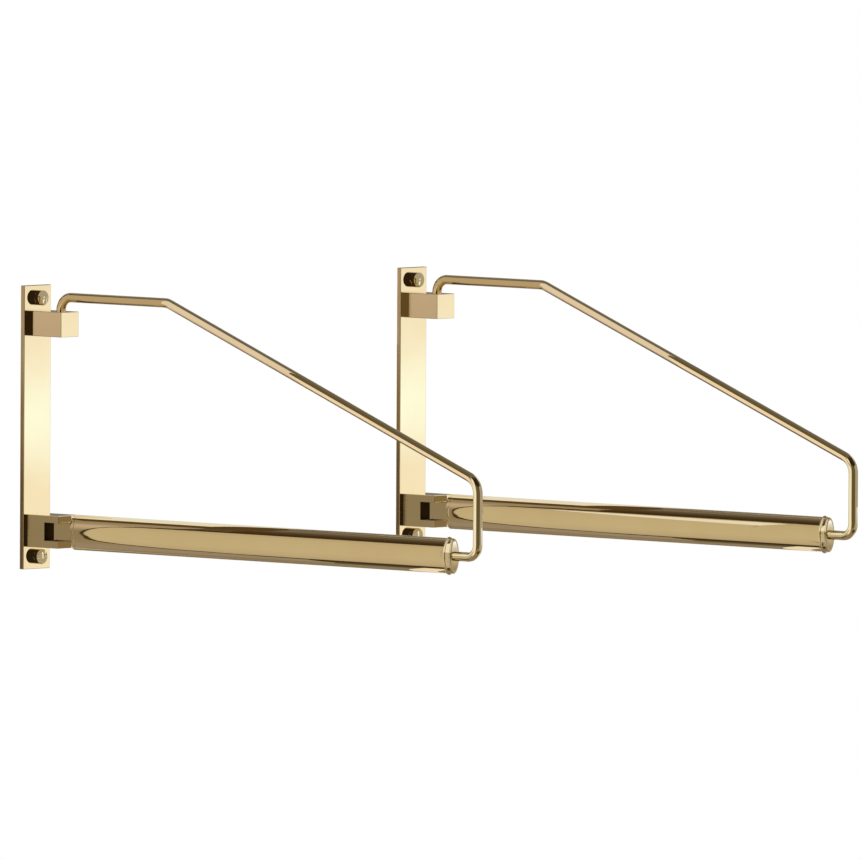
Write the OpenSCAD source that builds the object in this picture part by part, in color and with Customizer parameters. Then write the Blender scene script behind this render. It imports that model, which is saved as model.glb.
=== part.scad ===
// Pair of swing-arm wall brackets for hanging clothes, in polished brass.
// Each bracket has a wall plate, two square blocks, a hollow oval rail that
// swings on a pin in the forked lower block, and a bent brace rod that turns
// in the upper block and carries the rail's outer end.
// X runs along the wall, Y into it and Z up. The origin lies on the wall plane,
// at the middle of the four wall screws. "Depth" is distance out from the wall.

/* [Pair] */
// Distance between the two brackets' centre lines
bracket_spacing = 430; // [400:1:700]

/* [Wall plate] */
// Width of a wall plate
plate_w = 30; // [27:1:45]
// Height of a wall plate
plate_h = 226; // [200:1:300]
// Thickness of a wall plate
plate_t = 4; // [3.5:0.5:8]
// Radius of the plate's polished edges
plate_edge_r = 0.4; // [0.3:0.1:1.2]

/* [Wall screws] */
// Distance from the plate's end to a screw's axis
screw_inset = 10; // [8:0.5:11]
// Diameter of a screw's thread
screw_d = 5; // [4:0.5:6]
// Radial step from the thread down to the plain neck under the head
screw_neck_step = 0.3; // [0.1:0.05:0.4]
// Diameter of a screw's countersunk head
screw_head_d = 9.6; // [8:0.2:10.6]
// Depth of a screw's countersunk head
screw_head_t = 2.3; // [1.5:0.1:3]
// Length of thread behind the plate
screw_reach = 10; // [6:1:60]
// Diameter of the button-shaped cap over a screw
cap_d = 12; // [10.8:0.2:14]
// Height of the cap's straight side
cap_rim_h = 6; // [0.8:0.1:7]
// Height of the cap's crowned front
cap_dome_h = 1.2; // [1:0.1:5.2]
// Diameter of the cap's stud, which screws into the screw's head
cap_stud_d = 3; // [2:0.1:3.6]
// Length of the cap's stud
cap_stud_l = 2.2; // [1.6:0.1:3.2]

/* [Blocks] */
// Projection of both blocks from the plate
block_depth = 36; // [32:0.5:50]
// Distance from the blocks' front face to the swing axis
axis_inset = 10; // [8:0.5:11]
// Radius of the blocks' polished edges
block_edge_r = 0.4; // [0.3:0.1:1.5]
// Width of the upper block
upper_block_w = 20; // [16:0.5:24]
// Height of the upper block
upper_block_h = 20; // [19:0.5:26]
// Drop from the upper wall screw's axis to the upper block's centre
upper_block_inset = 20; // [19:0.5:33]
// Depth of the bore that the brace rod turns in
journal_depth = 16; // [8:0.5:17]
// Width of the lower block
lower_block_w = 25; // [20:0.5:26]
// Height of the lower block
lower_block_h = 26; // [24:0.5:28]
// Rise from the lower wall screw's axis to the lower block's centre
lower_block_inset = 21; // [20:0.5:33]
// Height of the lower block's slot
slot_h = 14.4; // [10:0.2:16]
// Depth of the slot from the block's front face
slot_depth = 15.2; // [13:0.2:18]

/* [Block screws] */
// Diameter of the screws that hold the blocks to the plate
block_screw_d = 4; // [3:0.5:4.5]
// Diameter of their countersunk heads
block_screw_head_d = 7.6; // [6:0.2:8]
// Depth of their countersunk heads
block_screw_head_t = 2; // [1.5:0.1:2.5]
// Length of a block screw
block_screw_l = 14; // [10:0.5:18]
// Distance between the two screws of the upper block
upper_screw_pitch = 10; // [8.5:0.5:11]
// Distance between the two screws of the lower block
lower_screw_pitch = 13; // [9:0.5:16]

/* [Hinge] */
// Diameter of the hinge pin
pin_d = 5; // [4:0.5:6]
// Depth of the pin's blind hole in the upper ear of the fork
pin_hole_depth = 3.8; // [2:0.2:4.4]
// Thickness of the tongue
tongue_t = 9.5; // [8.5:0.1:9.8]
// Distance from the swing axis to the rail's collar
collar_reach = 16.5; // [16.3:0.1:30]
// Length of the collar at the rail's inner end
collar_l = 3.8; // [2:0.1:8]

/* [Rail] */
// Height of the oval rail
rail_h = 28; // [24:0.5:32]
// Thickness of the oval rail
rail_t = 12; // [11.5:0.5:16]
// Radius of the rail's two crowned sides
rail_side_r = 30; // [22:1:60]
// Wall of the rail's tube
rail_wall = 1.5; // [1:0.1:1.6]
// Length of the rail's tube
rail_l = 409; // [300:0.5:440]
// Length of the plugs that fit the tube's two ends
plug_l = 13; // [12:0.5:25]
// Size of the small easing at the tube's and collar's ends
joint_edge_r = 0.4; // [0.2:0.1:0.6]
// Diameter of the set screws that hold the plugs
set_screw_d = 3; // [2.5:0.5:5]
// Length of a set screw
set_screw_l = 5; // [3.5:0.5:6]

/* [End cap] */
// Overhang of the end cap's flange around the rail
flange_over = 1; // [0.5:0.1:2]
// Thickness of the flange
flange_t = 2; // [1.5:0.1:4]
// Height of the end cap's dome
dome_h = 5.5; // [4:0.1:6]
// Height of the dome's crowned front
dome_crown_h = 1.4; // [0.8:0.1:3.2]
// Depth of the recess that the brace rod's end sits in
recess_depth = 2; // [1.2:0.1:3]

/* [Brace rod] */
// Diameter of the brace rod
rod_d = 7.5; // [6:0.1:8]
// Height of the rod's level run above the upper block
rod_rise = 11.5; // [11.5:0.5:30]
// Distance from the swing axis to the rod's kink
kink_reach = 118.5; // [60:0.5:180]
// Distance from the end cap's dome to the rod's outer upright
upright_gap = 24.2; // [18:0.1:40]
// Height of the upright, from the rail's centre line to the sloping run
upright_h = 59.5; // [40:0.5:100]
// Bend radius above the upper block, at the rod's centre line
top_bend_r = 11; // [8:0.5:11]
// Bend radius at the kink
kink_bend_r = 16; // [8:0.5:40]
// Bend radius at the upright's top
slope_bend_r = 14; // [8:0.5:30]
// Bend radius at the upright's foot
foot_bend_r = 10; // [8:0.5:14]
// Diameter of the threaded end that passes through the end cap
tenon_d = 5; // [4:0.5:5.5]
// Width across the flats of the nut on the threaded end
nut_af = 8; // [7:0.5:8.2]
// Thickness of the nut
nut_t = 4; // [3:0.5:5]

/* [Hidden] */

$fn = 64;
eps = 0.01;

// How far cuts run past the faces they open, and how far joined shapes reach
// into each other
cut_past = 1;
root_lap = 1;
bend_lap = 0.4;
bend_swell = 0.02;
arc_gap = 0.3;

// Facets of large arcs
side_facets = 256;

// Clearances: radial gap of turning and fixed fits, and end play
fit_gap = 0.05;
end_gap = 0.3;
tongue_play = 0.2;

brass = [0.87, 0.72, 0.42];
steel = [0.62, 0.62, 0.64];

// Small sizes of slots, sockets and chamfers
driver_slot_w = 1;
driver_slot_h = 1.2;
block_socket_af = 2.5;
block_socket_depth = 1.4;
set_socket_af = 1.5;
set_socket_depth = 1.6;
rod_chamfer = 0.6;
flange_rim_r = 0.7;
dome_inset = 1.1;
nut_side_gap = 0.6;
thread_past_nut = 1;

// Depths from the wall
block_front = plate_t + block_depth;
axis_depth = block_front - axis_inset;
collar_back = axis_depth + collar_reach;
rail_start = collar_back + collar_l;
rail_end = rail_start + rail_l;
flange_front = rail_end + flange_t;
dome_front = flange_front + dome_h;
recess_floor = dome_front - recess_depth;
upright_depth = dome_front + upright_gap;
kink_depth = axis_depth + kink_reach;

// Heights from the plate's centre
screw_z = plate_h / 2 - screw_inset;
upper_block_z = screw_z - upper_block_inset;
lower_block_drop = screw_z - lower_block_inset;
upper_block_top = upper_block_z + upper_block_h / 2;
rail_z = -lower_block_drop;
fork_bottom = rail_z - lower_block_h / 2;
run_z = upper_block_top + rod_rise;
slope_end_z = rail_z + upright_h;
journal_floor = upper_block_top - journal_depth;
pin_top = rail_z + slot_h / 2 + pin_hole_depth - end_gap;

// Sections. The oval has four arcs, and its section is the same all along the arm
rail_end_r = (pow(rail_h / 2, 2) + pow(rail_t / 2, 2) - rail_side_r * rail_t)
  / (rail_h - 2 * rail_side_r);
oval_side_angle = asin((rail_h / 2 - rail_end_r) / (rail_side_r - rail_end_r));
screw_neck_d = screw_d - 2 * screw_neck_step;
cap_dome_r = arc_radius(cap_d / 2, cap_dome_h);
tongue_h = slot_h - tongue_play;
dome_half_h = rail_h / 2 + flange_over - dome_inset;
dome_half_t = rail_t / 2 + flange_over - dome_inset;
dome_along_r = arc_radius(dome_half_h, dome_crown_h);
dome_across_r = arc_radius(dome_half_t, dome_crown_h);
nut_room = nut_af / cos(30) + 2 * nut_side_gap;

// Route of the brace rod as [depth, height] corners and the bend radius at each
rod_route = [
  [axis_depth, journal_floor + end_gap],
  [axis_depth, run_z],
  [kink_depth, run_z],
  [upright_depth, slope_end_z],
  [upright_depth, rail_z],
  [recess_floor, rail_z]
];
rod_bends = [0, top_bend_r, kink_bend_r, slope_bend_r, foot_bend_r, 0];

// Places

module left_bracket() translate([-bracket_spacing / 2, 0, 0]) children();

module right_bracket() translate([bracket_spacing / 2, 0, 0]) children();

// Turns a shape made along +Z so that it points out from the wall
module outward(depth = 0, height = 0) {
  translate([0, -depth, height]) rotate([90, 0, 0]) children();
}

// Turns a drawing of [depth, height] upright, with its thickness along X
module in_depth_plane() rotate([90, 0, -90]) children();

// Shapes

module rounded_square(size, r) {
  w = size[0];
  h = size[1];
  translate([-w / 2 + r, -h / 2]) square([w - 2 * r, h]);
  translate([-w / 2, -h / 2 + r]) square([w, h - 2 * r]);
  for (x = [-1, 1], y = [-1, 1])
    translate([x * (w / 2 - r), y * (h / 2 - r)]) circle(r);
}

// A square bar whose two far corners are rounded and whose back is sharp
module front_rounded_square(depth, height, r) {
  translate([0, -height / 2]) square([depth - r, height]);
  translate([0, -height / 2 + r]) square([depth, height - 2 * r]);
  for (y = [-1, 1])
    translate([depth - r, y * (height / 2 - r)]) circle(r);
}

// A block of w by h that stands out from depth 0, with polished edges
module polished_block(w, h, depth, r) {
  intersection() {
    outward() linear_extrude(depth) rounded_square([w, h], r);
    in_depth_plane() linear_extrude(w + 2 * cut_past, center = true)
      front_rounded_square(depth, h, r);
    linear_extrude(h + 2 * cut_past, center = true) rotate(-90)
      front_rounded_square(depth, w, r);
  }
}

// Outline of the rail's section, moved outwards by grow. The crowned sides stop a
// hair short of the end arcs, which then stand clear inside them
module oval_outline(grow = 0) {
  intersection() {
    translate([rail_side_r - rail_t / 2, 0]) circle(rail_side_r + grow, $fn = side_facets);
    translate([rail_t / 2 - rail_side_r, 0]) circle(rail_side_r + grow, $fn = side_facets);
    square([rail_h, 2 * (rail_side_r + grow) * sin(oval_side_angle) - 2 * arc_gap],
      center = true);
  }
  for (y = [-1, 1])
    translate([0, y * (rail_h / 2 - rail_end_r)]) circle(rail_end_r + grow);
}

// A bar of the rail's section between two depths, moved outwards by grow
module oval_bar(depth_0, depth_1, grow = 0) {
  translate([0, 0, rail_z]) outward(depth_0)
    linear_extrude(depth_1 - depth_0) oval_outline(grow);
}

// A bar whose two rims are eased back by r in fine steps
module eased_oval_bar(depth_0, depth_1, r, grow = 0) {
  for (angle = [0, 45, 90])
    oval_bar(depth_0 + r * (1 - sin(angle)), depth_1 - r * (1 - sin(angle)),
      grow - r * (1 - cos(angle)));
}

// Radius of the arc that rises by rise over half a width
function arc_radius(half, rise) = (pow(half, 2) + pow(rise, 2)) / (2 * rise);

function heading(a, b) = atan2(b[1] - a[1], b[0] - a[0]);

// Signed turn from heading a to heading b, between -180 and 180 degrees
function turn(a, b) = let(d = b - a) d > 180 ? d - 360 : d < -180 ? d + 360 : d;

// Straight length that a bend takes from each side of its corner
function bend_tangent(route, bends, i) =
  i == 0 || i == len(route) - 1 ? 0
  : bends[i] * tan(abs(turn(heading(route[i - 1], route[i]), heading(route[i], route[i + 1]))) / 2);

// A round rod along a route in the [depth, height] plane, with true bends.
// The straight runs reach a little way into the bends, which are a hair thicker
module bent_rod(route, bends, d) {
  for (i = [0 : len(route) - 2]) {
    way = heading(route[i], route[i + 1]);
    first = max(0, bend_tangent(route, bends, i) - bend_lap);
    last = max(0, bend_tangent(route, bends, i + 1) - bend_lap);
    translate(route[i]) rotate([0, 90, way]) translate([0, 0, first])
      cylinder(h = norm(route[i + 1] - route[i]) - first - last, d = d);
  }
  for (i = [1 : len(route) - 2]) {
    way_in = heading(route[i - 1], route[i]);
    swing = turn(way_in, heading(route[i], route[i + 1]));
    side = sign(swing);
    centre = route[i] - bend_tangent(route, bends, i) * [cos(way_in), sin(way_in)]
      + bends[i] * side * [-sin(way_in), cos(way_in)];
    translate(centre) rotate(way_in - side * 90 + min(swing, 0))
      rotate_extrude(angle = abs(swing)) translate([bends[i], 0]) circle(d = d + 2 * bend_swell);
  }
}

// Sub-parts, each at its place on a bracket centred on X = 0

module wall_plate() {
  color(brass) difference() {
    polished_block(plate_w, plate_h, plate_t, plate_edge_r);
    for (side = [-1, 1]) outward(-eps, side * screw_z) {
      cylinder(h = plate_t + 2 * eps, d = screw_d + 2 * fit_gap);
      translate([0, 0, plate_t - screw_head_t])
        cylinder(h = screw_head_t + 2 * eps, d1 = screw_neck_d + 2 * fit_gap,
          d2 = screw_head_d + 2 * fit_gap);
    }
    at_block_screws() block_screw_space();
  }
}

module wall_screws() {
  color(steel) for (side = [-1, 1]) outward(0, side * screw_z) difference() {
    union() {
      translate([0, 0, -screw_reach]) cylinder(h = screw_reach, d = screw_d);
      translate([0, 0, -root_lap]) cylinder(h = root_lap + plate_t, d = screw_neck_d);
      translate([0, 0, plate_t - screw_head_t])
        cylinder(h = screw_head_t, d1 = screw_neck_d, d2 = screw_head_d);
    }
    translate([0, 0, plate_t - cap_stud_l - end_gap])
      cylinder(h = cap_stud_l + end_gap + eps, d = cap_stud_d + 2 * fit_gap);
  }
}

module screw_caps() {
  color(brass) for (side = [-1, 1]) outward(plate_t, side * screw_z) {
    cylinder(h = cap_rim_h, d = cap_d);
    intersection() {
      translate([0, 0, cap_rim_h + cap_dome_h - cap_dome_r]) sphere(cap_dome_r);
      translate([0, 0, cap_rim_h]) cylinder(h = cap_dome_h + cut_past, d = cap_d);
    }
    translate([0, 0, -cap_stud_l]) cylinder(h = cap_stud_l, d = cap_stud_d);
  }
}

module upper_block() {
  color(brass) difference() {
    translate([0, -plate_t, upper_block_z])
      polished_block(upper_block_w, upper_block_h, block_depth, block_edge_r);
    translate([0, -axis_depth, journal_floor])
      cylinder(h = journal_depth + cut_past, d = rod_d + 2 * fit_gap);
    at_block_screws() block_screw_space();
  }
}

module lower_block() {
  color(brass) difference() {
    translate([0, -plate_t, rail_z])
      polished_block(lower_block_w, lower_block_h, block_depth, block_edge_r);
    translate([-lower_block_w / 2 - cut_past, -block_front - cut_past, rail_z - slot_h / 2])
      cube([lower_block_w + 2 * cut_past, slot_depth + cut_past, slot_h]);
    translate([0, -axis_depth, fork_bottom - cut_past])
      cylinder(h = pin_top + end_gap - fork_bottom + cut_past, d = pin_d);
    at_block_screws() block_screw_space();
  }
}

// Axes of the four screws that hold the two blocks to the plate
module at_block_screws() {
  for (side = [-1, 1]) {
    outward(0, upper_block_z + side * upper_screw_pitch / 2) children();
    outward(0, rail_z + side * lower_screw_pitch / 2) children();
  }
}

module block_screw_space() {
  translate([0, 0, -eps]) cylinder(h = block_screw_l + end_gap, d = block_screw_d + 2 * fit_gap);
  translate([0, 0, -eps])
    cylinder(h = block_screw_head_t, d1 = block_screw_head_d + 2 * fit_gap,
      d2 = block_screw_d + 2 * fit_gap);
}

module block_screws() {
  color(steel) at_block_screws() difference() {
    union() {
      cylinder(h = block_screw_l, d = block_screw_d);
      cylinder(h = block_screw_head_t, d1 = block_screw_head_d, d2 = block_screw_d);
    }
    translate([0, 0, -eps])
      cylinder(h = block_socket_depth, d = block_socket_af / cos(30), $fn = 6);
  }
}

module hinge_pin() {
  color(brass) translate([0, -axis_depth, fork_bottom]) difference() {
    cylinder(h = pin_top - fork_bottom, d = pin_d);
    translate([-pin_d, -driver_slot_w / 2, -eps]) cube([2 * pin_d, driver_slot_w, driver_slot_h]);
  }
}

// Tongue, collar and plug in one casting, which carries the rail's inner end
module hinge_tongue() {
  color(brass) difference() {
    union() {
      translate([0, -axis_depth, rail_z]) {
        cylinder(h = tongue_h, d = tongue_t, center = true);
        translate([-tongue_t / 2, -collar_reach - root_lap, -tongue_h / 2])
          cube([tongue_t, collar_reach + root_lap, tongue_h]);
      }
      eased_oval_bar(collar_back, rail_start, joint_edge_r);
      oval_bar(rail_start - root_lap, rail_start + plug_l, -rail_wall - fit_gap);
    }
    translate([0, -axis_depth, rail_z])
      cylinder(h = tongue_h + 2 * cut_past, d = pin_d + 2 * fit_gap, center = true);
    at_set_screws() set_screw_space();
  }
}

module rail() {
  color(brass) difference() {
    eased_oval_bar(rail_start, rail_end, joint_edge_r);
    oval_bar(rail_start - cut_past, rail_end + cut_past, -rail_wall);
    at_set_screws() set_screw_space();
  }
}

// Set screws stand under the rail, halfway along each plug
module at_set_screws() {
  for (depth = [rail_start + plug_l / 2, rail_end - plug_l / 2])
    translate([0, -depth, rail_z - rail_h / 2]) children();
}

module set_screw_space() {
  translate([0, 0, -cut_past])
    cylinder(h = set_screw_l + cut_past + end_gap, d = set_screw_d + 2 * fit_gap);
}

module rail_set_screws() {
  color(steel) at_set_screws() difference() {
    translate([0, 0, end_gap]) cylinder(h = set_screw_l - end_gap, d = set_screw_d);
    translate([0, 0, end_gap - eps])
      cylinder(h = set_socket_depth, d = set_socket_af / cos(30), $fn = 6);
  }
}

// A dome over the rail's oval with straight sides and a front that is crowned
// both along it and across it
module end_cap_dome() {
  intersection() {
    oval_bar(flange_front - eps, dome_front, flange_over - dome_inset);
    translate([0, -dome_front + dome_across_r, rail_z])
      cylinder(h = rail_h + 2 * flange_over, r = dome_across_r, center = true);
    translate([0, -dome_front + dome_along_r, rail_z]) rotate([0, 90, 0])
      cylinder(h = rail_t + 2 * flange_over, r = dome_along_r, center = true,
        $fn = side_facets);
  }
}

module end_cap() {
  color(brass) difference() {
    union() {
      eased_oval_bar(rail_end, flange_front, flange_rim_r, flange_over);
      end_cap_dome();
      difference() {
        oval_bar(rail_end - plug_l, rail_end + root_lap, -rail_wall - fit_gap);
        translate([-rail_t, -rail_end, rail_z - nut_room / 2])
          cube([2 * rail_t, plug_l + cut_past, nut_room]);
      }
    }
    outward(recess_floor, rail_z) cylinder(h = recess_depth + cut_past, d = rod_d);
    outward(rail_end - cut_past, rail_z)
      cylinder(h = recess_floor - rail_end + 2 * cut_past, d = tenon_d + 2 * fit_gap);
    at_set_screws() set_screw_space();
  }
}

module brace_rod() {
  color(brass) {
    difference() {
      in_depth_plane() bent_rod(rod_route, rod_bends, rod_d);
      translate([0, -axis_depth, journal_floor + end_gap]) difference() {
        translate([0, 0, -eps]) cylinder(h = rod_chamfer, d = rod_d + cut_past);
        translate([0, 0, -eps])
          cylinder(h = rod_chamfer, d1 = rod_d - 2 * rod_chamfer, d2 = rod_d);
      }
    }
    outward(rail_end - nut_t - thread_past_nut, rail_z)
      cylinder(h = recess_floor - rail_end + nut_t + thread_past_nut + root_lap, d = tenon_d);
  }
}

module rod_nut() {
  color(steel) outward(rail_end - nut_t, rail_z) difference() {
    rotate(30) cylinder(h = nut_t, d = nut_af / cos(30), $fn = 6);
    translate([0, 0, -cut_past]) cylinder(h = nut_t + 2 * cut_past, d = tenon_d + 2 * fit_gap);
  }
}

left_bracket() wall_plate();  // left_wall_plate
left_bracket() wall_screws();  // left_wall_screws
left_bracket() screw_caps();  // left_screw_caps
left_bracket() upper_block();  // left_upper_block
left_bracket() lower_block();  // left_lower_block
left_bracket() block_screws();  // left_block_screws
left_bracket() hinge_pin();  // left_hinge_pin
left_bracket() hinge_tongue();  // left_hinge_tongue
left_bracket() rail();  // left_rail
left_bracket() rail_set_screws();  // left_rail_set_screws
left_bracket() end_cap();  // left_end_cap
left_bracket() brace_rod();  // left_brace_rod
left_bracket() rod_nut();  // left_rod_nut
right_bracket() wall_plate();  // right_wall_plate
right_bracket() wall_screws();  // right_wall_screws
right_bracket() screw_caps();  // right_screw_caps
right_bracket() upper_block();  // right_upper_block
right_bracket() lower_block();  // right_lower_block
right_bracket() block_screws();  // right_block_screws
right_bracket() hinge_pin();  // right_hinge_pin
right_bracket() hinge_tongue();  // right_hinge_tongue
right_bracket() rail();  // right_rail
right_bracket() rail_set_screws();  // right_rail_set_screws
right_bracket() end_cap();  // right_end_cap
right_bracket() brace_rod();  // right_brace_rod
right_bracket() rod_nut();  // right_rod_nut
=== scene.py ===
import math

import bmesh
import bpy
from mathutils import Matrix, Vector


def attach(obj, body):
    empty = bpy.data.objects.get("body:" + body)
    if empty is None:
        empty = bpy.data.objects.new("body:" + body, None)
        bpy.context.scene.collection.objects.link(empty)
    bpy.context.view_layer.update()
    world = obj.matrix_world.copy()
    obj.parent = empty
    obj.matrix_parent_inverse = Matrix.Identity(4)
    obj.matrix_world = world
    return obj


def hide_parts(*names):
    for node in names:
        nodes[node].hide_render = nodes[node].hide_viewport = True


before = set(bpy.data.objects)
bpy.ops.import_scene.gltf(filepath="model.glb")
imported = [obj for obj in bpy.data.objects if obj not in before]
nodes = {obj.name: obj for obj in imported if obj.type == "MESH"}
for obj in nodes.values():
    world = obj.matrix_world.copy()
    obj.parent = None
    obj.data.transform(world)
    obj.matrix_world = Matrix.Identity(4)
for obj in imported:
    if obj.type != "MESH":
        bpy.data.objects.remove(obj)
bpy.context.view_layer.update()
brackets = {"left": -0.215, "right": 0.215}


# The camera
# The photograph looks at the pair from the front left and a little above, through
# a very long lens, so that upright and level lines stay parallel.
azimuth = math.radians(-46.0)
elevation = math.radians(3.21)
roll = math.radians(0.30)
sight = Vector((math.sin(azimuth) * math.cos(elevation),
                -math.cos(azimuth) * math.cos(elevation), math.sin(elevation)))
level = Vector((math.cos(azimuth), math.sin(azimuth), 0.0))
upward = sight.cross(level)
across = level * math.cos(roll) + upward * math.sin(roll)
over = upward * math.cos(roll) - level * math.sin(roll)
shift_across = 0.3153
shift_over = -0.0026
middle = Vector((brackets["left"], 0.0, 0.0)) + shift_across * across + shift_over * over
camera_distance = 25.0
frame_width = 0.6842
camera_data = bpy.data.cameras.new("camera")
camera_data.sensor_width = 36.0
camera_data.lens = camera_distance * camera_data.sensor_width / frame_width
camera_data.clip_end = 100.0
camera = bpy.data.objects.new("camera", camera_data)
camera.matrix_world = Matrix((
    (across.x, over.x, sight.x, 0.0), (across.y, over.y, sight.y, 0.0),
    (across.z, over.z, sight.z, 0.0), (0.0, 0.0, 0.0, 1.0)))
camera.location = middle + camera_distance * sight
bpy.context.scene.collection.objects.link(camera)
bpy.context.scene.camera = camera
bpy.context.scene.view_settings.view_transform = "Standard"


# The studio
# A white room with a pale floor under the brackets. The world is white to the eye
# and to the metal, and a little softer as a light on the floor.
def add_node(tree, kind, **settings):
    made = tree.nodes.new(kind)
    for key, value in settings.items():
        setattr(made, key, value)
    return made


world = bpy.data.worlds.new("white_room")
world.use_nodes = True
bpy.context.scene.world = world
sky = world.node_tree
sky.nodes.clear()
path = add_node(sky, "ShaderNodeLightPath")
seen = add_node(sky, "ShaderNodeMath", operation="MAXIMUM")
shown = add_node(sky, "ShaderNodeMath", operation="MAXIMUM")
room = add_node(sky, "ShaderNodeBackground")
room.inputs["Color"].default_value = (1.0, 1.0, 1.0, 1.0)
room.inputs["Strength"].default_value = 1.0
soft = add_node(sky, "ShaderNodeBackground")
soft.inputs["Color"].default_value = (0.95, 0.97, 1.0, 1.0)
soft.inputs["Strength"].default_value = 0.75
choose = add_node(sky, "ShaderNodeMixShader")
sky_out = add_node(sky, "ShaderNodeOutputWorld")
sky.links.new(path.outputs["Is Camera Ray"], seen.inputs[0])
sky.links.new(path.outputs["Is Glossy Ray"], seen.inputs[1])
sky.links.new(seen.outputs[0], shown.inputs[0])
sky.links.new(path.outputs["Is Transmission Ray"], shown.inputs[1])
sky.links.new(shown.outputs[0], choose.inputs["Fac"])
sky.links.new(soft.outputs[0], choose.inputs[1])
sky.links.new(room.outputs[0], choose.inputs[2])
sky.links.new(choose.outputs[0], sky_out.inputs["Surface"])

floor_mesh = bpy.data.meshes.new("floor")
bm = bmesh.new()
bmesh.ops.create_grid(bm, x_segments=4, y_segments=4, size=2.2)
bmesh.ops.translate(bm, verts=bm.verts, vec=(0.0, -0.2, -0.62))
bm.to_mesh(floor_mesh)
bm.free()
floor = bpy.data.objects.new("floor", floor_mesh)
bpy.context.scene.collection.objects.link(floor)
floor_paint = bpy.data.materials.new("pale_floor")
floor_paint.use_nodes = True
paint = floor_paint.node_tree.nodes["Principled BSDF"]
paint.inputs["Base Color"].default_value = (0.86, 0.86, 0.85, 1.0)
paint.inputs["Roughness"].default_value = 0.6
floor_mesh.materials.append(floor_paint)
floor.visible_glossy = False

lamp_data = bpy.data.lights.new("soft_lamp", "AREA")
lamp_data.shape = "DISK"
lamp_data.size = 1.4
lamp_data.energy = 28.0
lamp = bpy.data.objects.new("soft_lamp", lamp_data)
lamp.location = (-1.0, -1.6, 1.9)
lamp_aim = Vector((0.0, -0.2, 0.0)) - lamp.location
lamp.rotation_euler = lamp_aim.to_track_quat("-Z", "Y").to_euler()
lamp.visible_glossy = False
bpy.context.scene.collection.objects.link(lamp)


# The light tent
# Polished metal shows the room around it. A tent of white cloth with tan and dark
# panels stands far off, and only the metal sees it.
def soft_band(tree, value, low, high, blur):
    """One where the value lies between low and high, zero elsewhere, with blurred ends."""
    rise = add_node(tree, "ShaderNodeMapRange", interpolation_type="SMOOTHSTEP")
    rise.inputs["From Min"].default_value = low - blur
    rise.inputs["From Max"].default_value = low + blur
    fall = add_node(tree, "ShaderNodeMapRange", interpolation_type="SMOOTHSTEP")
    fall.inputs["From Min"].default_value = high - blur
    fall.inputs["From Max"].default_value = high + blur
    fall.inputs["To Min"].default_value = 1.0
    fall.inputs["To Max"].default_value = 0.0
    both = add_node(tree, "ShaderNodeMath", operation="MULTIPLY")
    tree.links.new(value, rise.inputs["Value"])
    tree.links.new(value, fall.inputs["Value"])
    tree.links.new(rise.outputs["Result"], both.inputs[0])
    tree.links.new(fall.outputs["Result"], both.inputs[1])
    return both.outputs[0]


tent_mesh = bpy.data.meshes.new("light_tent")
bm = bmesh.new()
bmesh.ops.create_icosphere(bm, subdivisions=5, radius=10.0)
bm.to_mesh(tent_mesh)
bm.free()
tent = bpy.data.objects.new("light_tent", tent_mesh)
bpy.context.scene.collection.objects.link(tent)
cloth = bpy.data.materials.new("tent_cloth")
cloth.use_nodes = True
cloth.cycles.emission_sampling = "NONE"
tree = cloth.node_tree
tree.nodes.clear()
where = add_node(tree, "ShaderNodeTexCoord")
towards = add_node(tree, "ShaderNodeVectorMath", operation="NORMALIZE")
split = add_node(tree, "ShaderNodeSeparateXYZ")
ground = add_node(tree, "ShaderNodeVectorMath", operation="MULTIPLY")
ground.inputs[1].default_value = (1.0, 1.0, 0.0)
bearing = add_node(tree, "ShaderNodeVectorMath", operation="NORMALIZE")
tree.links.new(where.outputs["Object"], towards.inputs[0])
tree.links.new(towards.outputs["Vector"], split.inputs[0])
tree.links.new(towards.outputs["Vector"], ground.inputs[0])
tree.links.new(ground.outputs["Vector"], bearing.inputs[0])
tent_colour = None
room_dark = (0.026, 0.018, 0.012)
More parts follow.
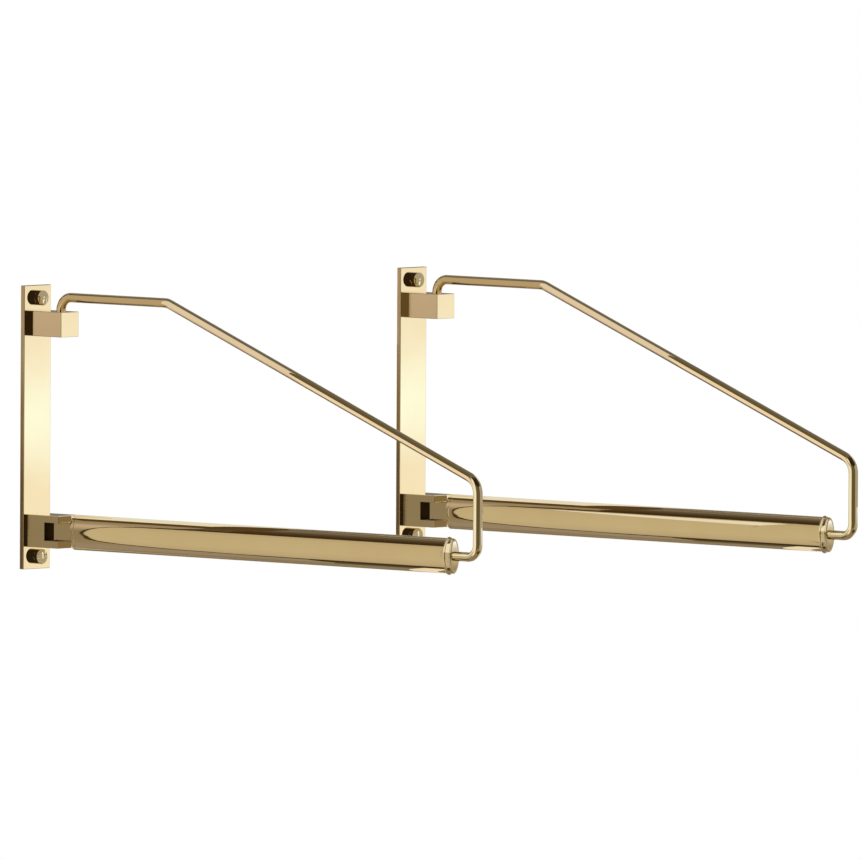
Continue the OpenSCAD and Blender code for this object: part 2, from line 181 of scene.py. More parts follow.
# Each panel: bearing and half width in degrees, lowest and highest sine of the
# elevation, their blurs, and the panel's colour
for bearing_deg, half_deg, low, high, blur_deg, blur, colour in (
        (0.0, 180.0, 0.62, 1.10, 1.0, 0.05, (0.15, 0.14, 0.12)),
        (0.0, 180.0, -1.10, -0.62, 1.0, 0.05, (0.27, 0.23, 0.18)),
        (134.0, 40.0, -0.30, 0.25, 8.0, 0.05, (0.22, 0.20, 0.17)),
        (155.0, 42.0, 0.28, 0.62, 8.0, 0.04, (0.24, 0.23, 0.20)),
        (163.0, 24.0, -0.66, -0.30, 8.0, 0.05, (0.12, 0.08, 0.05)),
        (45.0, 55.0, -0.50, 0.50, 10.0, 0.10, (0.42, 0.40, 0.36)),
        (-140.0, 26.0, -0.48, 0.31, 5.0, 0.02, (0.56, 0.50, 0.39)),
        (-140.0, 36.0, -0.60, -0.49, 6.0, 0.02, (0.06, 0.04, 0.02)),
        (-140.0, 36.0, 0.33, 0.66, 6.0, 0.02, (0.10, 0.08, 0.06)),
        (25.0, 50.0, 0.48, 0.96, 10.0, 0.06, (0.05, 0.035, 0.02)),
        (25.0, 50.0, -0.96, -0.48, 10.0, 0.06, (0.24, 0.20, 0.14)),
        (-41.0, 42.0, -0.94, -0.10, 8.0, 0.04, (0.26, 0.22, 0.15)),
        (-41.0, 42.0, -0.16, 0.94, 8.0, 0.06, room_dark),
        (0.0, 34.0, -0.80, -0.61, 6.0, 0.03, (0.05, 0.035, 0.02))):
    angle = math.radians(bearing_deg)
    ahead = add_node(tree, "ShaderNodeVectorMath", operation="DOT_PRODUCT")
    ahead.inputs[1].default_value = (math.sin(angle), -math.cos(angle), 0.0)
    tree.links.new(bearing.outputs["Vector"], ahead.inputs[0])
    off = add_node(tree, "ShaderNodeMath", operation="ARCCOSINE")
    tree.links.new(ahead.outputs["Value"], off.inputs[0])
    wide = soft_band(tree, off.outputs[0], -9.0, math.radians(half_deg), math.radians(blur_deg))
    tall = soft_band(tree, split.outputs["Z"], low, high, blur)
    inside = add_node(tree, "ShaderNodeMath", operation="MULTIPLY")
    tree.links.new(wide, inside.inputs[0])
    tree.links.new(tall, inside.inputs[1])
    lay = add_node(tree, "ShaderNodeMix", data_type="RGBA")
    tree.links.new(inside.outputs[0], lay.inputs["Factor"])
    if tent_colour is None:
        lay.inputs["A"].default_value = (1.0, 1.0, 1.0, 1.0)
    else:
        tree.links.new(tent_colour, lay.inputs["A"])
    lay.inputs["B"].default_value = (*colour, 1.0)
    tent_colour = lay.outputs["Result"]
light = add_node(tree, "ShaderNodeEmission")
out = add_node(tree, "ShaderNodeOutputMaterial")
tree.links.new(tent_colour, light.inputs["Color"])
tree.links.new(light.outputs[0], out.inputs["Surface"])
tent_mesh.materials.append(cloth)


# Cards
# Small cards around each bracket, which only the metal sees: white and cream ones for
# its bright bands, tan and brown ones for its sides, and dark ones for the lines.
def only_for_metal(made):
    for flag in ("visible_camera", "visible_diffuse", "visible_shadow", "visible_transmission"):
        setattr(made, flag, False)


def card(name, corners, colours, reach=(-1.0, 1.0)):
    """Makes a glowing sheet in one colour, or in several from the foot of its reach to its top."""
    shades = [colours, colours] if isinstance(colours, tuple) else colours
    sheet = bmesh.new()
    sheet.faces.new([sheet.verts.new(corner) for corner in corners])
    mesh = bpy.data.meshes.new(name)
    sheet.to_mesh(mesh)
    sheet.free()
    made = bpy.data.objects.new(name, mesh)
    only_for_metal(made)
    bpy.context.scene.collection.objects.link(made)
    paper = bpy.data.materials.new(name)
    paper.use_nodes = True
    paper.cycles.emission_sampling = "NONE"
    tree = paper.node_tree
    tree.nodes.clear()
    where = add_node(tree, "ShaderNodeTexCoord")
    split = add_node(tree, "ShaderNodeSeparateXYZ")
    scale = add_node(tree, "ShaderNodeMapRange")
    scale.inputs["From Min"].default_value = reach[0]
    scale.inputs["From Max"].default_value = reach[1]
    ramp = add_node(tree, "ShaderNodeValToRGB")
    ramp.color_ramp.interpolation = "EASE"
    points = ramp.color_ramp.elements
    while len(points) < len(shades):
        points.new(0.5)
    for i, shade in enumerate(shades):
        points[i].position = i / (len(shades) - 1)
        points[i].color = (*shade, 1.0)
    light = add_node(tree, "ShaderNodeEmission")
    clear = add_node(tree, "ShaderNodeBsdfTransparent")
    turned = add_node(tree, "ShaderNodeNewGeometry")
    one_side = add_node(tree, "ShaderNodeMixShader")
    out = add_node(tree, "ShaderNodeOutputMaterial")
    tree.links.new(where.outputs["Object"], split.inputs[0])
    tree.links.new(split.outputs["Z"], scale.inputs["Value"])
    tree.links.new(scale.outputs["Result"], ramp.inputs["Fac"])
    tree.links.new(ramp.outputs["Color"], light.inputs["Color"])
    tree.links.new(turned.outputs["Backfacing"], one_side.inputs["Fac"])
    tree.links.new(light.outputs[0], one_side.inputs[1])
    tree.links.new(clear.outputs[0], one_side.inputs[2])
    tree.links.new(one_side.outputs[0], out.inputs["Surface"])
    mesh.materials.append(paper)


def beside_card(side, name, outline, colours, reach=(-1.0, 1.0), gap=0.456):
    """Stands a card to the left of a bracket, outlined by (y, height over the rail's middle)."""
    corners = [Vector((brackets[side] - gap, y + askew[side], rail_level + z)) for y, z in outline]
    card(side + name, corners, colours, (rail_level + reach[0], rail_level + reach[1]))


def facing_card(name, centre, along, span, half_h, colours, reach=(-1.0, 1.0)):
    """Stands a rectangular card around a centre, between two distances along a level line."""
    first, last = [centre + distance * along for distance in span]
    card(name, [first + Vector((0.0, 0.0, z)) for z in (-half_h, half_h)]
         + [last + Vector((0.0, 0.0, z)) for z in (half_h, -half_h)], colours, reach)


def level_card(side, name, outline, rise, colour):
    """Lays a card level over or under a rail, outlined by (x from the bracket, y)."""
    corners = [Vector((brackets[side] + x, y, rail_level + rise)) for x, y in outline]
    card(side + name, corners, colour)


def parallel_card(side, name, outline, y, colour):
    """Stands a card parallel to the wall, outlined by (x, height) from a rail's middle."""
    corners = [Vector((brackets[side] + x, y, rail_level + z)) for x, z in outline]
    card(side + name, corners, colour)


only_for_metal(tent)
rail_level = -0.082
shadow = (0.05, 0.033, 0.015)
tan_colours = [(0.36, 0.31, 0.24), (0.50, 0.45, 0.35), (0.55, 0.49, 0.38), (0.58, 0.52, 0.395),
               (0.58, 0.515, 0.39), (0.57, 0.50, 0.375), (0.50, 0.44, 0.33)]
# The way that the brackets' fronts look in their mirror, the way back to the camera,
# and a level line across each
glance = Vector((0.718, -0.694, -0.056))
across_glance = Vector((0.694, 0.718, 0.0))
to_camera = Vector((-0.718, -0.694, 0.056))
across_camera = Vector((0.694, -0.718, 0.0))
# The lens sees the left bracket a little askew, which moves what it mirrors
askew = {"left": 0.001, "right": -0.0025}
# The right bracket's cards stand close to the left bracket, so they start behind its plate
near_edge = {"left": -0.03, "right": 0.03}
# The y that parts what a plate's narrow side mirrors from what its back edge mirrors
plate_edge = {"left": 0.439, "right": 0.431}
cap_ring_r = 0.009
cap_ring_front = Vector((0.0, -0.014, 0.0))
cap_ring_back = Vector((0.0, -0.0042, 0.0))
for side, middle_x in brackets.items():
    facing_card(side + "_bright_card", Vector((middle_x, 0.0, 0.0)) + 0.30 * glance,
                across_glance, (-0.042, 0.014), 0.14,
                [(0.98, 0.95, 0.92), (1.0, 1.0, 1.0), (1.08, 1.25, 1.40), (1.0, 1.02, 1.04),
                 (0.95, 0.93, 0.92)], (-0.135, 0.115))

    # What the left sides of the plate, the blocks and the rail show
    near = near_edge[side]
    beside_card(side, "_tan_card",
                [(near, -0.45), (0.10, -0.45), (0.30, -0.445), (0.365, -0.42), (0.397, -0.36),
                 (0.410, -0.27), (0.404, -0.20), (0.385, -0.10), (0.378, 0.0), (0.3765, 0.05),
                 (0.374, 0.17), (0.360, 0.205), (0.30, 0.218), (0.10, 0.222), (near, 0.222)],
                tan_colours, (-0.50, 0.22))
    beside_card(side, "_dark_edge",
                [(near, -0.60), (0.10, -0.60), (0.30, -0.55), (0.385, -0.49), (0.422, -0.39),
                 (0.423, -0.27), (0.412, -0.19), (0.391, -0.10), (0.3835, 0.0), (0.382, 0.05),
                 (0.3805, 0.17), (0.374, 0.235), (0.34, 0.275), (0.25, 0.285), (0.10, 0.30),
                 (near, 0.30)],
                shadow, gap=0.457)
    beside_card(side, "_low_card",
                [(near, -1.50), (1.10, -1.50), (0.80, -1.10), (0.50, -0.75), (0.36, -0.53),
                 (0.30, -0.46), (near, -0.45)],
                [(0.25, 0.24, 0.22), (0.12, 0.10, 0.06), (0.045, 0.025, 0.008)],
                (-1.20, -0.48), 0.458)
    beside_card(side, "_high_card",
                [(near, 0.28), (0.29, 0.28), (0.35, 0.42), (0.45, 0.60), (0.60, 0.78),
                 (0.95, 1.20), (0.95, 1.50), (near, 1.50)],
                [(0.06, 0.035, 0.012), (0.11, 0.09, 0.07), (0.20, 0.17, 0.14)],
                (0.29, 0.80), 0.458)
    beside_card(side, "_high_line",
                [(0.40, 0.41), (0.80, 0.84), (0.80, 0.95), (0.62, 0.74), (0.47, 0.57), (0.40, 0.47)],
                (0.06, 0.04, 0.02), gap=0.457)
    if side == "right":
        # The right rail's outer end would show the left bracket, so cards stand before it
        beside_card(side, "_end_card",
                    [(-0.30, -0.105), (-0.2304, -0.105), (-0.2072, -0.05), (-0.1976, 0.0),
                     (-0.2072, 0.05), (-0.2304, 0.0974), (-0.30, 0.0974)],
                    tan_colours, (-0.219, 0.0965), 0.2)
        beside_card(side, "_end_edge",
                    [(-0.30, 0.0975), (-0.2304, 0.0975), (-0.245, 0.13), (-0.30, 0.13)],
                    shadow, gap=0.2)
    beside_card(side, "_brown_card",
                [(0.33, -0.95), (0.95, -0.95), (0.95, 0.98), (0.80, 0.86), (0.62, 0.67), (0.47, 0.51),
                 (0.40, 0.43), (0.36, 0.34), (0.33, 0.22)],
                [(0.33, 0.29, 0.26), (0.33, 0.29, 0.26), (0.31, 0.26, 0.20), (0.29, 0.245, 0.165),
                 (0.28, 0.24, 0.18), (0.56, 0.475, 0.42), (0.33, 0.28, 0.21), (0.325, 0.275, 0.208),
                 (0.32, 0.27, 0.20)],
                (-0.60, 0.60), 0.459)
    edge = plate_edge[side]
    beside_card(side, "_plate_strip",
                [(edge, -0.12), (edge + 0.018, -0.12), (edge + 0.018, 0.10), (edge, 0.10)],
                [(0.08, 0.055, 0.025), (0.06, 0.045, 0.02), (0.20, 0.14, 0.09)],
                (-0.12, 0.10), 0.458)
    beside_card(side, "_side_strip",
                [(edge - 0.005, -0.08), (edge, -0.08), (edge, 0.18), (edge - 0.005, 0.18)],
                [(0.105, 0.070, 0.036), (0.110, 0.074, 0.038), (0.205, 0.150, 0.072),
                 (0.313, 0.274, 0.205), (0.38, 0.29, 0.20)],
                (-0.07, 0.17), 0.4585)

    # Scraps of card close to the brace rod
    for name, outline, colour in (
            ("_slope_inner_card",
             [(-0.282, 0.123), (-0.138, 0.1763), (-0.138, 0.2223), (-0.282, 0.169)],
             (0.80, 0.74, 0.74)),
            ("_slope_outer_card",
             [(-0.480, 0.042), (-0.282, 0.115), (-0.282, 0.1395), (-0.480, 0.0665)],
             (0.92, 0.84, 0.80)),
            ("_slope_dark_card",
             [(-0.480, 0.067), (-0.2825, 0.140), (-0.2825, 0.200), (-0.480, 0.127)],
             (0.13, 0.105, 0.06)),
            ("_run_card",
             [(-0.1375, 0.168), (-0.044, 0.168), (-0.044, 0.178), (-0.015, 0.178),
              (-0.015, 0.209), (-0.1375, 0.209)],
             (0.50, 0.41, 0.30))):
        beside_card(side, name, outline, colour, gap=0.012)
    beside_card(side, "_upright_card",
                [(-0.4895, 0.004), (-0.452, 0.004), (-0.452, 0.057), (-0.4895, 0.057)],
                (0.93, 0.96, 0.97), gap=0.015)
    facing_card(side + "_front_card", Vector((middle_x, -0.491, -0.050)) + 0.05 * to_camera,
                across_camera, (-0.036, 0.036), 0.05, (0.13, 0.107, 0.05))

    # The white wedge with its dark rim on top of the rail, and the white under its end
    level_card(side, "_wedge_card",
               [(-0.058, 0.075), (0.20, 0.075), (0.20, -0.20), (0.036, -0.20), (-0.058, -0.10)],
               0.1, (0.85, 0.88, 0.92))
    level_card(side, "_wedge_shade",
               [(-0.108, 0.075), (-0.0585, 0.075), (-0.0585, -0.10), (0.0355, -0.20), (-0.03, -0.20),
                (-0.108, -0.12)],
               0.1, (0.10, 0.06, 0.025))
    level_card(side, "_foot_card",
               [(-0.065, -0.366), (0.15, -0.366), (0.15, -0.338), (-0.065, -0.333)],
               -0.1, (0.90, 0.86, 0.84))

    # The gaps over and under the tongue, the slot's back, and the end cap's front
    for low, high in ((0.0072, 0.0135), (-0.0135, -0.0072)):
        parallel_card(side, "_gap_card", [(0.009, low), (-0.006, low), (-0.006, high), (0.009, high)],
                      -0.0462, (0.24, 0.18, 0.10))
    parallel_card(side, "_slot_card",
                  [(-0.0124, -0.007), (0.0124, -0.007), (0.0124, 0.007), (-0.0124, 0.007)],
                  -0.0251, (0.28, 0.24, 0.18))
    facing_card(side + "_tip_card", Vector((middle_x, -0.4668, rail_level)) + 0.06 * glance,
                across_glance, (-0.014, 0.014), 0.024,
                [(0.36, 0.30, 0.22), (0.60, 0.56, 0.50), (1.10, 1.25, 1.70)], (-0.105, -0.062))

    # Dark half rings around the left sides of the screw caps
    for cap_level in (-0.103, 0.103):
        corners = [Vector((middle_x + cap_ring_r * math.cos(math.radians(turn)), 0.0,
                           cap_level + cap_ring_r * math.sin(math.radians(turn))))
                   for turn in (90, 150, 210, 270)]
        for first, second in zip(corners, corners[1:]):
            card(side + "_cap_ring", [first + cap_ring_back, first + cap_ring_front,
                                      second + cap_ring_front, second + cap_ring_back], room_dark)


# Wall plates
# Flat brass bar, sawn to length, drilled and countersunk, with its edges eased
# and its faces buffed along their length before it is lacquered.
def polished_brass(name, streaks=(40.0, 40.0, 3.0), tint=(0.94, 0.785, 0.50), gloss=0.022,
                   shaded_slot=None):
    brass = bpy.data.materials.new(name)
    brass.use_nodes = True
    tree = brass.node_tree
    shader = tree.nodes["Principled BSDF"]
    where = add_node(tree, "ShaderNodeTexCoord")
    # Buffing lines, much longer than they are wide
    along = add_node(tree, "ShaderNodeMapping")
    along.inputs["Scale"].default_value = streaks
    lines = add_node(tree, "ShaderNodeTexNoise")
    lines.inputs["Scale"].default_value = 60.0
    lines.inputs["Detail"].default_value = 3.0
    # The lacquer's cloudiness, a few centimetres across
    clouds = add_node(tree, "ShaderNodeTexNoise")
    clouds.inputs["Scale"].default_value = 28.0
    clouds.inputs["Detail"].default_value = 4.0
    shade = add_node(tree, "ShaderNodeValToRGB")
    shade.color_ramp.elements[0].position = 0.30
    shade.color_ramp.elements[0].color = (tint[0] * 0.97, tint[1] * 0.96, tint[2] * 0.92, 1.0)
    shade.color_ramp.elements[1].position = 0.70
    shade.color_ramp.elements[1].color = (*tint, 1.0)
    sheen = add_node(tree, "ShaderNodeMapRange")
    sheen.inputs["From Min"].default_value = 0.30
    sheen.inputs["From Max"].default_value = 0.75
    sheen.inputs["To Min"].default_value = gloss * 0.7
    sheen.inputs["To Max"].default_value = gloss * 1.5
    # The slight waviness that buffing leaves, and the lines themselves
    waves = add_node(tree, "ShaderNodeTexNoise")
    waves.inputs["Scale"].default_value = 35.0
    waves.inputs["Detail"].default_value = 1.0
    wavy = add_node(tree, "ShaderNodeBump")
    wavy.inputs["Strength"].default_value = 1.0
    wavy.inputs["Distance"].default_value = 0.00002
    fine = add_node(tree, "ShaderNodeBump")
    fine.inputs["Strength"].default_value = 1.0
    fine.inputs["Distance"].default_value = 0.0000008
    tree.links.new(where.outputs["Object"], along.inputs["Vector"])
    tree.links.new(where.outputs["Object"], clouds.inputs["Vector"])
    tree.links.new(where.outputs["Object"], waves.inputs["Vector"])
    tree.links.new(along.outputs["Vector"], lines.inputs["Vector"])
    tree.links.new(clouds.outputs["Fac"], shade.inputs["Fac"])
    tree.links.new(lines.outputs["Fac"], sheen.inputs["Value"])
    tree.links.new(waves.outputs["Fac"], wavy.inputs["Height"])
    tree.links.new(lines.outputs["Fac"], fine.inputs["Height"])
    tree.links.new(wavy.outputs["Normal"], fine.inputs["Normal"])
    colour = shade.outputs["Color"]
    roughness = sheen.outputs["Result"]
    if shaded_slot:
        # Painted shade: faces inside the fork's slot are painted dark and made matt, standing in for
        # the shade in the slot. They lie between two values of y and two distances from the level of
        # the rail's middle
        blur = 0.00002
        split = add_node(tree, "ShaderNodeSeparateXYZ")
        lift = add_node(tree, "ShaderNodeMath", operation="ADD")
        lift.inputs[1].default_value = -rail_level
        height = add_node(tree, "ShaderNodeMath", operation="ABSOLUTE")
        shade_mask = add_node(tree, "ShaderNodeMath", operation="MULTIPLY")
        painted_shade = add_node(tree, "ShaderNodeMix", data_type="RGBA")
        painted_shade.inputs["B"].default_value = (0.07, 0.045, 0.022, 1.0)
        matt = add_node(tree, "ShaderNodeMix", data_type="FLOAT")
        matt.inputs["B"].default_value = 0.5
        tree.links.new(where.outputs["Object"], split.inputs[0])
        tree.links.new(split.outputs["Z"], lift.inputs[0])
        tree.links.new(lift.outputs[0], height.inputs[0])
        in_depth = soft_band(tree, split.outputs["Y"], shaded_slot[0], shaded_slot[1], blur)
        in_height = soft_band(tree, height.outputs[0], shaded_slot[2], shaded_slot[3], blur)
        tree.links.new(in_depth, shade_mask.inputs[0])
        tree.links.new(in_height, shade_mask.inputs[1])
        tree.links.new(shade_mask.outputs[0], painted_shade.inputs["Factor"])
        tree.links.new(shade_mask.outputs[0], matt.inputs["Factor"])
        tree.links.new(colour, painted_shade.inputs["A"])
        tree.links.new(roughness, matt.inputs["A"])
        colour = painted_shade.outputs["Result"]
        roughness = matt.outputs["Result"]
    tree.links.new(colour, shader.inputs["Base Color"])
    tree.links.new(roughness, shader.inputs["Roughness"])
    tree.links.new(fine.outputs["Normal"], shader.inputs["Normal"])
    shader.inputs["Metallic"].default_value = 1.0
    return brass


def wear(node, finish):
    for slot in nodes[node].material_slots:
        slot.material = finish


plate_brass = polished_brass("plate_brass")
for side in brackets:
    wear(side + "_wall_plate", plate_brass)


# Wall screws
# Turned steel screws with a countersunk head, threaded inside for the cap's stud.
# Their heads sit flush in the plate, and their threads go into the wall.
def turned_steel(name, gloss=0.25):
    steel = bpy.data.materials.new(name)
    steel.use_nodes = True
    tree = steel.node_tree
    shader = tree.nodes["Principled BSDF"]
    where = add_node(tree, "ShaderNodeTexCoord")
    marks = add_node(tree, "ShaderNodeTexNoise")
    marks.inputs["Scale"].default_value = 900.0
    marks.inputs["Detail"].default_value = 4.0
    shade = add_node(tree, "ShaderNodeValToRGB")
    shade.color_ramp.elements[0].color = (0.46, 0.46, 0.47, 1.0)
    shade.color_ramp.elements[1].color = (0.64, 0.64, 0.65, 1.0)
    sheen = add_node(tree, "ShaderNodeMapRange")
    sheen.inputs["To Min"].default_value = gloss * 0.7
    sheen.inputs["To Max"].default_value = gloss * 1.4
    rough = add_node(tree, "ShaderNodeBump")
    rough.inputs["Strength"].default_value = 1.0
    rough.inputs["Distance"].default_value = 0.00001
    tree.links.new(where.outputs["Object"], marks.inputs["Vector"])
    tree.links.new(marks.outputs["Fac"], shade.inputs["Fac"])
    tree.links.new(marks.outputs["Fac"], sheen.inputs["Value"])
    tree.links.new(marks.outputs["Fac"], rough.inputs["Height"])
    tree.links.new(shade.outputs["Color"], shader.inputs["Base Color"])
    tree.links.new(sheen.outputs["Result"], shader.inputs["Roughness"])
    tree.links.new(rough.outputs["Normal"], shader.inputs["Normal"])
    shader.inputs["Metallic"].default_value = 1.0
    return steel


screw_steel = turned_steel("screw_steel")
for side in brackets:
    wear(side + "_wall_screws", screw_steel)


# Screw caps
# Button-shaped brass caps, turned from bar and buffed while they spin, that screw
# into the wall screws and hide them.
turned_brass = polished_brass("turned_brass", streaks=(12.0, 40.0, 12.0))
for side in brackets:
    wear(side + "_screw_caps", turned_brass)


# Blocks
# Two lengths of square brass bar on each plate, held by screws from behind. The upper
# one is bored for the rod's end, and the lower one is slotted into a fork.
across_block = (40.0, 4.0, 40.0)
block_brass = polished_brass("block_brass", streaks=across_block)
# The fork's faces inside its slot get painted shade, dark and matt
fork_brass = polished_brass("fork_brass", streaks=across_block,
                            shaded_slot=(-0.0399, -0.0247, -1.0, 0.0073))
for side in brackets:
    wear(side + "_upper_block", block_brass)
    wear(side + "_lower_block", fork_brass)
    wear(side + "_block_screws", screw_steel)


# Hinge
# A turned brass pin goes up through the fork's lower ear and a rounded tongue. The
# tongue and the collar that meets the tube are one casting, filed flush and buffed.
def of_kind(geometry, kind):
    return [item for item in geometry if isinstance(item, kind)]


def oval_loft(bm, middle_x, rings, segments=112):
    """Carries an oval ring through (depth, half thickness, half height) steps."""
    depth, half_t, half_h = rings[0]
    ring = bmesh.ops.create_circle(bm, segments=segments, radius=1.0)["verts"]
    bmesh.ops.scale(bm, verts=ring, vec=(half_t, half_h, 1.0))
    bmesh.ops.rotate(bm, verts=ring, matrix=Matrix.Rotation(math.radians(90.0), 3, "X"))
    bmesh.ops.translate(bm, verts=ring, vec=(middle_x, -depth, rail_level))
    first = edges = list(dict.fromkeys(edge for vert in ring for edge in vert.link_edges))
    for new_depth, new_t, new_h in rings[1:]:
        grown = bmesh.ops.extrude_edge_only(bm, edges=edges)["geom"]
        verts = of_kind(grown, bmesh.types.BMVert)
        edges = of_kind(grown, bmesh.types.BMEdge)
        bmesh.ops.scale(bm, verts=verts, vec=(new_t / half_t, 1.0, new_h / half_h),
                        space=Matrix.Translation((-middle_x, 0.0, -rail_level)))
        bmesh.ops.translate(bm, verts=verts, vec=(0.0, depth - new_depth, 0.0))
        depth, half_t, half_h = new_depth, new_t, new_h
    bmesh.ops.bridge_loops(bm, edges=first + edges)


def eased(depth, inward, r, half_t, half_h, steps=4):
    """The rings of a rim rounded by r, from its face towards the middle of the piece."""
    turns = [math.radians(90.0 * i / steps) for i in range(steps + 1)]
    return [(depth + inward * r * (1.0 - math.cos(turn)), half_t - r * (1.0 - math.sin(turn)),
             half_h - r * (1.0 - math.sin(turn))) for turn in turns]


def finish_piece(bm, name, body, replaced, finish, edge=0.0):
    bmesh.ops.remove_doubles(bm, verts=bm.verts, dist=0.000002)
    bmesh.ops.recalc_face_normals(bm, faces=bm.faces)
    mesh = bpy.data.meshes.new(name)
    bm.to_mesh(mesh)
    bm.free()
    mesh.shade_smooth()
    mesh.set_sharp_from_angle(angle=math.radians(34.0))
    mesh.materials.append(finish)
    piece = bpy.data.objects.new(name, mesh)
    bpy.context.scene.collection.objects.link(piece)
    if edge:
        rounding = piece.modifiers.new("broken_edges", "BEVEL")
        rounding.width = edge
        rounding.segments = 2
        rounding.limit_method = "ANGLE"
        rounding.angle_limit = math.radians(50.0)
    flats = piece.modifiers.new("flat_faces", "WEIGHTED_NORMAL")
    flats.keep_sharp = True
    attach(piece, body)
    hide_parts(*replaced)


oval_half_t = 0.006
oval_half_h = 0.014
tube_edge = 0.0004
hinge_depth = 0.030
collar_back = 0.0465
rail_start = 0.0503
tongue_half_t = 0.00475
tongue_half_h = 0.0071
pin_bore_r = 0.00255
for side, middle_x in brackets.items():
    bm = bmesh.new()
    # The collar, closed by a small oval in the middle of each face
    collar = [(collar_back, 0.001, 0.003)]
    collar += eased(collar_back, 1.0, tube_edge, oval_half_t, oval_half_h)
    collar += reversed(eased(rail_start, -1.0, tube_edge, oval_half_t, oval_half_h))
    oval_loft(bm, middle_x, collar + [(rail_start, 0.001, 0.003)])
    # The tongue, round about the pin and straight into the collar, and its bore
    low = rail_level - tongue_half_h
    start = bmesh.ops.create_vert(bm, co=(middle_x - tongue_half_t, -hinge_depth, low))["vert"][0]
    before = set(bm.verts)
    last = bmesh.ops.spin(bm, geom=[start], cent=(middle_x, -hinge_depth, low), axis=(0.0, 0.0, 1.0),
                          angle=math.radians(-180.0), steps=40)["geom_last"][0]
    arc = [start] + [vert for vert in bm.verts if vert not in before]
    roots = list(bmesh.ops.extrude_vert_indiv(bm, verts=[start, last])["verts"])
    bmesh.ops.translate(bm, verts=roots, vec=(0.0, hinge_depth - collar_back - tube_edge, 0.0))
    bmesh.ops.contextual_create(bm, geom=roots)
    bore = bmesh.ops.create_circle(bm, segments=40, radius=pin_bore_r,
                                   matrix=Matrix.Translation((middle_x, -hinge_depth, low)))["verts"]
    foot = list(dict.fromkeys(line for vert in arc + roots + bore for line in vert.link_edges))
    grown = bmesh.ops.extrude_edge_only(bm, edges=foot)["geom"]
    bmesh.ops.translate(bm, verts=of_kind(grown, bmesh.types.BMVert),
                        vec=(0.0, 0.0, 2.0 * tongue_half_h))
    bmesh.ops.bridge_loops(bm, edges=foot)
    bmesh.ops.bridge_loops(bm, edges=of_kind(grown, bmesh.types.BMEdge))
    finish_piece(bm, side + "_tongue_casting", side + "_arm", [side + "_hinge_tongue"], block_brass,
                 edge=0.0003)
    wear(side + "_hinge_pin", turned_brass)


# Rails
# Drawn oval brass tube, buffed along its length. A set screw under each end goes
# through a drilled hole and holds the tube on its plug.
rail_brass = polished_brass("rail_brass", streaks=(40.0, 2.0, 40.0), gloss=0.018)
rail_end = 0.4593
tube_wall = 0.0015
bore_t = oval_half_t - tube_wall
bore_h = oval_half_h - tube_wall
set_screw_r = 0.00155
set_screw_depths = (0.0568, 0.4528)
# A ring half way, and closer ones where the holes are drilled
close = 0.00035
ring_depths = sorted([0.5 * (rail_start + rail_end)]
                     + [depth + close * i for depth in set_screw_depths for i in range(-7, 8)])


def from_hole(place, middle_x, depth):
    """A point's place seen from below, from the middle of a hole."""
    return Vector((place.x - middle_x, place.y + depth))


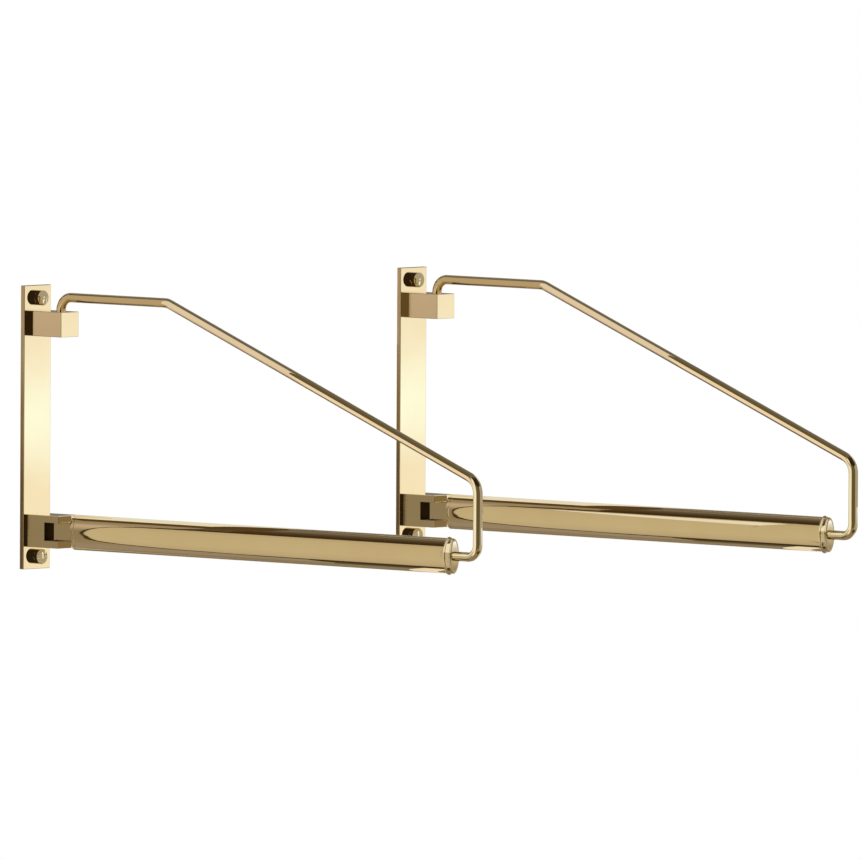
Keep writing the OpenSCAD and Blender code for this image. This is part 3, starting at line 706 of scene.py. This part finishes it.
for side, middle_x in brackets.items():
    bm = bmesh.new()
    tube = eased(rail_start, 1.0, tube_edge, oval_half_t, oval_half_h)
    tube += [(depth, oval_half_t, oval_half_h) for depth in ring_depths]
    tube += reversed(eased(rail_end, -1.0, tube_edge, oval_half_t, oval_half_h))
    tube += [(depth, bore_t, bore_h) for depth in [rail_end] + ring_depths[::-1] + [rail_start]]
    oval_loft(bm, middle_x, tube)
    for depth in set_screw_depths:
        drilled = [face for face in bm.faces if face.calc_center_median().z < rail_level - 0.008
                   and from_hole(face.calc_center_median(), middle_x, depth).length < set_screw_r]
        bmesh.ops.delete(bm, geom=drilled, context="FACES")
        rim = [line for line in bm.edges if line.is_boundary]
        for vert in {vert for line in rim for vert in line.verts}:
            outer = vert.co.z < rail_level - bore_h - 0.0002
            away = from_hole(vert.co, middle_x, depth).normalized() * set_screw_r
            reach_t, reach_h = (oval_half_t, oval_half_h) if outer else (bore_t, bore_h)
            vert.co = (middle_x + away.x, away.y - depth,
                       rail_level - reach_h * math.sqrt(1.0 - (away.x / reach_t) ** 2))
        bmesh.ops.bridge_loops(bm, edges=rim)
    finish_piece(bm, side + "_rail_tube", side + "_arm", [side + "_rail"], rail_brass)
    wear(side + "_rail_set_screws", screw_steel)


# End caps
# A cast brass cap closes the tube's outer end. Its rim stands a little proud of
# the tube, its front is crowned, and the brace rod's foot sits in its middle.
cap_brass = polished_brass("cap_brass", streaks=(30.0, 30.0, 6.0))
flange_front = 0.4613
flange_half_t = 0.007
flange_half_h = 0.015
flange_edge = 0.0007
dome_front = 0.4668
dome_half_t = 0.0059
dome_half_h = 0.0139
dome_edge = 0.0005
crown = 0.0014
crown_steps = 10
rod_hole = 0.0038
tenon_hole = 0.0026
for side, middle_x in brackets.items():
    bm = bmesh.new()
    rings = [(rail_end, tenon_hole, tenon_hole), (rail_end, 0.0043, 0.0123)]
    rings += eased(rail_end, 1.0, flange_edge, flange_half_t, flange_half_h)
    rings += reversed(eased(flange_front, -1.0, flange_edge, flange_half_t, flange_half_h))
    rings += [(flange_front + 0.0001, dome_half_t + 0.0002, dome_half_h + 0.0002),
              (flange_front + 0.0004, dome_half_t, dome_half_h)]
    rings += reversed(eased(dome_front - crown, -1.0, dome_edge, dome_half_t, dome_half_h))
    for i in range(1, crown_steps + 1):
        turn = math.radians(90.0 * i / crown_steps)
        inward = 1.0 - math.cos(turn)
        rings += [(dome_front - crown + (crown - 0.0004) * math.sin(turn),
                   dome_half_t - dome_edge + (rod_hole - dome_half_t + dome_edge) * inward,
                   dome_half_h - dome_edge + (rod_hole - dome_half_h + dome_edge) * inward)]
    rings += [(dome_front - 0.002, rod_hole, rod_hole), (dome_front - 0.002, tenon_hole, tenon_hole)]
    oval_loft(bm, middle_x, rings)
    finish_piece(bm, side + "_rail_cap", side + "_arm", [side + "_end_cap"], cap_brass)


# Brace rods
# One length of round brass bar, bent cold four times, with a threaded end that a
# nut inside the tube pulls against the cap.
for side in brackets:
    wear(side + "_brace_rod", rail_brass)
    wear(side + "_rod_nut", screw_steel)
